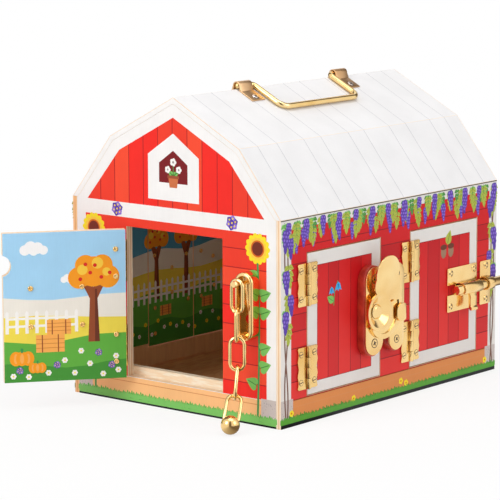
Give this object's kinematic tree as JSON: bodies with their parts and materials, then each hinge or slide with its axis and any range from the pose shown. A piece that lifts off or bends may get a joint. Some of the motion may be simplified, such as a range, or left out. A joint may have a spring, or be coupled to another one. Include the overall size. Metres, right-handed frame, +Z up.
{
  "type": "toy barn with opening doors",
  "caption": "Toy barn with a gambrel roof, an open interior, hinged doors held by a chain lock, sash lock, sliding bolt and bar latch, and a folding wire carrying handle.",
  "frame": {"origin": "centre of the floor panel's underside, on the surface that the barn stands on", "axes": "+Z up, +X out of the side wall with the two separate doors, the front gable with the single door faces -Y"},
  "size_m": [0.2741, 0.431, 0.2913],
  "materials": {
    "printed_board": "printed plywood board, red with white trim, semi-matt",
    "white_board": "white printed plywood board, semi-matt",
    "red_block": "red painted wooden block, satin",
    "bare_wood": "bare light plywood, matt",
    "brass": "polished brass-coloured hardware"
  },
  "bodies": {
    "barn": {"floor_panel": "bare_wood", "threshold_strip": "bare_wood", "front_wall": "printed_board", "back_wall": "printed_board", "right_wall": "printed_board", "left_wall": "printed_board", "roof_right_lower": "white_board", "roof_right_upper": "white_board", "roof_left_lower": "white_board", "roof_left_upper": "white_board", "front_door_hinge_lower_frame_leaf": "brass", "front_door_hinge_upper_frame_leaf": "brass", "right_front_door_hinge_lower_frame_leaf": "brass", "right_front_door_hinge_upper_frame_leaf": "brass", "right_rear_door_hinge_lower_frame_leaf": "brass", "right_rear_door_hinge_upper_frame_leaf": "brass", "left_front_door_hinge_lower_frame_leaf": "brass", "left_front_door_hinge_upper_frame_leaf": "brass", "left_rear_door_hinge_lower_frame_leaf": "brass", "left_rear_door_hinge_upper_frame_leaf": "brass", "sash_keeper_block": "red_block", "sash_keeper": "brass", "bolt_keeper": "brass", "chain_anchor": "brass", "handle_strap_front": "brass", "handle_strap_rear": "brass"},
    "front_door": {"front_door": "printed_board", "front_door_hinge_lower_door_leaf": "brass", "front_door_hinge_upper_door_leaf": "brass", "chain_track": "brass"},
    "right_front_door": {"right_front_door": "printed_board", "right_front_door_hinge_lower_door_leaf": "brass", "right_front_door_hinge_upper_door_leaf": "brass", "sash_block": "red_block", "sash_base": "brass"},
    "sash_lever": {"sash_lever": "brass"},
    "right_rear_door": {"right_rear_door": "printed_board", "right_rear_door_hinge_lower_door_leaf": "brass", "right_rear_door_hinge_upper_door_leaf": "brass", "bolt_plate": "brass"},
    "slide_bolt": {"slide_bolt": "brass"},
    "left_front_door": {"left_front_door": "printed_board", "left_front_door_hinge_lower_door_leaf": "brass", "left_front_door_hinge_upper_door_leaf": "brass", "latch_plate": "brass"},
    "latch_bar": {"latch_bar": "brass"},
    "left_rear_door": {"left_rear_door": "printed_board", "left_rear_door_hinge_lower_door_leaf": "brass", "left_rear_door_hinge_upper_door_leaf": "brass", "latch_hook": "brass"},
    "carry_handle": {"carry_handle": "brass"},
    "chain_link_1": {"chain_link_1": "brass"},
    "chain_link_2": {"chain_link_2": "brass"},
    "chain_link_3": {"chain_link_3": "brass"},
    "chain_link_4": {"chain_link_4": "brass"},
    "chain_link_5": {"chain_link_5": "brass", "chain_knob": "brass"}
  },
  "joints": [
    {"name": "front_door_hinge", "type": "hinge", "parent": "barn", "child": "front_door", "pos_m": [-0.057, -0.1673, 0.09], "axis": [0, 0, -1], "range_deg": [-128, 37]},
    {"name": "right_front_door_hinge", "type": "hinge", "parent": "barn", "child": "right_front_door", "pos_m": [0.1253, -0.12875, 0.09], "axis": [0, 0, -1], "range_deg": [0, 105]},
    {"name": "sash_lever_turn", "type": "hinge", "parent": "right_front_door", "child": "sash_lever", "pos_m": [0.1322, -0.04125, 0.0885], "axis": [1, 0, 0], "range_deg": [0, 100]},
    {"name": "right_rear_door_hinge", "type": "hinge", "parent": "barn", "child": "right_rear_door", "pos_m": [0.1253, 0.0245, 0.09], "axis": [0, 0, -1], "range_deg": [0, 105]},
    {"name": "bolt_slide", "type": "slide", "parent": "right_rear_door", "child": "slide_bolt", "axis": [0, -1, 0], "range_m": [0, 0.0375]},
    {"name": "left_front_door_hinge", "type": "hinge", "parent": "barn", "child": "left_front_door", "pos_m": [-0.1253, -0.068, 0.09], "axis": [0, 0, 1], "range_deg": [0, 105]},
    {"name": "latch_bar_lift", "type": "hinge", "parent": "left_front_door", "child": "latch_bar", "pos_m": [-0.1247, -0.0221, 0.0885], "axis": [1, 0, 0], "range_deg": [0, 90]},
    {"name": "left_rear_door_hinge", "type": "hinge", "parent": "barn", "child": "left_rear_door", "pos_m": [-0.1253, 0.065, 0.09], "axis": [0, 0, -1], "range_deg": [0, 105]},
    {"name": "handle_fold", "type": "hinge", "parent": "barn", "child": "carry_handle", "pos_m": [0, 0.0035, 0.2871], "axis": [0, -1, 0], "range_deg": [0, 234]},
    {"name": "chain_swing_1", "type": "hinge", "parent": "barn", "child": "chain_link_1", "pos_m": [0.089, -0.1835, 0.1286], "axis": [0, 1, 0], "range_deg": [-18, 18]},
    {"name": "chain_swing_2", "type": "hinge", "parent": "chain_link_1", "child": "chain_link_2", "pos_m": [0.089, -0.1835, 0.1031], "axis": [-1, 0, 0], "range_deg": [0, 30]},
    {"name": "chain_swing_3", "type": "hinge", "parent": "chain_link_2", "child": "chain_link_3", "pos_m": [0.089, -0.1835, 0.0776], "axis": [-0.5, 0.866, 0], "range_deg": [-5, 30]},
    {"name": "chain_swing_4", "type": "hinge", "parent": "chain_link_3", "child": "chain_link_4", "pos_m": [0.089, -0.1835, 0.0521], "axis": [-0.8192, -0.5736, 0], "range_deg": [-12, 20]},
    {"name": "chain_swing_5", "type": "hinge", "parent": "chain_link_4", "child": "chain_link_5", "pos_m": [0.09311, -0.19212, 0.02846], "axis": [-0.9026, -0.4305, 0], "range_deg": [-25, 0]}
  ]
}
